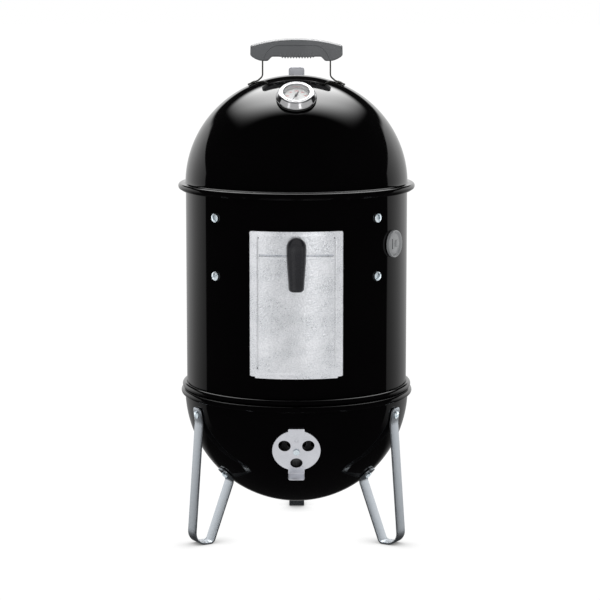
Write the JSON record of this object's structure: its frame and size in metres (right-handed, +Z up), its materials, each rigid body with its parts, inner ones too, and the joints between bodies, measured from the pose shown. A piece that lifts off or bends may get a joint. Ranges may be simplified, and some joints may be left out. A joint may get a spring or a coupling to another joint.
{
  "type": "vertical water smoker",
  "caption": "Upright charcoal water smoker: domed lid with thermometer, cylinder with fuel door, bowl with dampers, bent strap legs.",
  "frame": {"origin": "on the smoker's own axis, at the level of the floor it stands on", "axes": "+Z up along the smoker's axis; -Y is the front, with the fuel door and the thermometer; +X is to the right seen from the front"},
  "size_m": [0.3716, 0.3872, 0.7856],
  "materials": {
    "enamel": "gloss porcelain enamel",
    "aluminium": "satin",
    "door_aluminium": "pressed, textured",
    "zinc_steel": "bright zinc",
    "plated_wire": "plated",
    "bare_steel": "mill finish",
    "dark_steel": "satin",
    "nylon": "moulded, fine texture",
    "silicone": "matt",
    "gasket_rubber": "matt",
    "bezel_chrome": "polished",
    "dial_enamel": "matt white with printed marks",
    "lens_glass": "clear",
    "needle_black": "satin"
  },
  "bodies": {
    "bowl": {"charcoal_bowl": "enamel", "leg_front_left": "aluminium", "leg_front_right": "aluminium", "leg_rear": "aluminium", "leg_screw_1": "zinc_steel", "leg_screw_2": "zinc_steel", "leg_screw_3": "zinc_steel", "leg_screw_4": "zinc_steel", "leg_screw_5": "zinc_steel", "leg_screw_6": "zinc_steel", "leg_nut_1": "zinc_steel", "leg_nut_2": "zinc_steel", "leg_nut_3": "zinc_steel", "leg_nut_4": "zinc_steel", "leg_nut_5": "zinc_steel", "leg_nut_6": "zinc_steel", "bowl_vent_front_rivet": "zinc_steel", "bowl_vent_rear_left_rivet": "zinc_steel", "bowl_vent_rear_right_rivet": "zinc_steel"},
    "bowl_vent_front": {"bowl_vent_front": "aluminium"},
    "bowl_vent_rear_left": {"bowl_vent_rear_left": "aluminium"},
    "bowl_vent_rear_right": {"bowl_vent_rear_right": "aluminium"},
    "charcoal_grate": {"charcoal_grate": "bare_steel"},
    "charcoal_chamber": {"charcoal_chamber": "bare_steel"},
    "middle": {"middle_section": "enamel", "grate_strap_1": "bare_steel", "grate_strap_2": "bare_steel", "grate_strap_3": "bare_steel", "grate_strap_4": "bare_steel", "strap_screw_1": "zinc_steel", "strap_screw_2": "zinc_steel", "strap_screw_3": "zinc_steel", "strap_screw_4": "zinc_steel", "strap_screw_5": "zinc_steel", "strap_screw_6": "zinc_steel", "strap_screw_7": "zinc_steel", "strap_screw_8": "zinc_steel", "probe_grommet": "silicone"},
    "upper_cooking_grate": {"upper_cooking_grate": "plated_wire"},
    "lower_cooking_grate": {"lower_cooking_grate": "plated_wire"},
    "water_pan": {"water_pan": "enamel"},
    "fuel_door": {"fuel_door": "door_aluminium"},
    "latch": {"door_lever": "nylon", "latch_shaft": "zinc_steel", "latch_bar": "zinc_steel"},
    "lid": {"lid": "enamel", "handle_bracket": "dark_steel", "handle_grip": "nylon", "handle_screw_1": "zinc_steel", "handle_screw_2": "zinc_steel", "bracket_screw_1": "zinc_steel", "bracket_screw_2": "zinc_steel", "lid_vent_rivet": "zinc_steel", "thermometer_gasket": "gasket_rubber", "thermometer_bezel": "bezel_chrome", "thermometer_dial": "dial_enamel", "thermometer_lens": "lens_glass", "thermometer_stem": "zinc_steel"},
    "lid_vent": {"lid_vent": "aluminium"},
    "needle": {"thermometer_needle": "needle_black"}
  },
  "joints": [
    {"name": "middle_lift", "type": "slide", "parent": "bowl", "child": "middle", "axis": [0, 0, 1], "range_m": [0, 0.3]},
    {"name": "lid_lift", "type": "slide", "parent": "middle", "child": "lid", "axis": [0, 0, 1], "range_m": [0, 0.25]},
    {"name": "upper_grate_lift", "type": "slide", "parent": "middle", "child": "upper_cooking_grate", "axis": [0, 0, 1], "range_m": [0, 0.015]},
    {"name": "lower_grate_lift", "type": "slide", "parent": "middle", "child": "lower_cooking_grate", "axis": [0, 0, 1], "range_m": [0, 0.07]},
    {"name": "water_pan_lift", "type": "slide", "parent": "middle", "child": "water_pan", "axis": [0, 0, 1], "range_m": [0, 0.03]},
    {"name": "charcoal_grate_lift", "type": "slide", "parent": "bowl", "child": "charcoal_grate", "axis": [0, 0, 1], "range_m": [0, 0.05]},
    {"name": "charcoal_chamber_lift", "type": "slide", "parent": "charcoal_grate", "child": "charcoal_chamber", "axis": [0, 0, 1], "range_m": [0, 0.06]},
    {"name": "door_tilt", "type": "hinge", "parent": "middle", "child": "fuel_door", "pos_m": [0, -0.1767, 0.2785], "axis": [1, 0, 0], "range_deg": [0, 35]},
    {"name": "latch_turn", "type": "hinge", "parent": "fuel_door", "child": "latch", "pos_m": [0, -0.1812, 0.48], "axis": [0, -1, 0], "range_deg": [0, 90]},
    {"name": "bowl_vent_front_turn", "type": "hinge", "parent": "bowl", "child": "bowl_vent_front", "pos_m": [0, -0.16376, 0.1643], "axis": [0, -0.9274, -0.374], "range_deg": [0, 60]},
    {"name": "bowl_vent_rear_left_turn", "type": "hinge", "parent": "bowl", "child": "bowl_vent_rear_left", "pos_m": [-0.14182, 0.08188, 0.1643], "axis": [-0.8032, 0.4637, -0.374], "range_deg": [0, 60]},
    {"name": "bowl_vent_rear_right_turn", "type": "hinge", "parent": "bowl", "child": "bowl_vent_rear_right", "pos_m": [0.14182, 0.08188, 0.1643], "axis": [0.8032, 0.4637, -0.374], "range_deg": [0, 60]},
    {"name": "lid_vent_turn", "type": "hinge", "parent": "lid", "child": "lid_vent", "pos_m": [0, 0.09504, 0.70173], "axis": [0, 0.5324, 0.8465], "range_deg": [0, 60]},
    {"name": "needle_turn", "type": "hinge", "parent": "lid", "child": "needle", "pos_m": [0, -0.10059, 0.6981], "axis": [0, -0.5641, 0.8257], "range_deg": [-270, 0]}
  ]
}
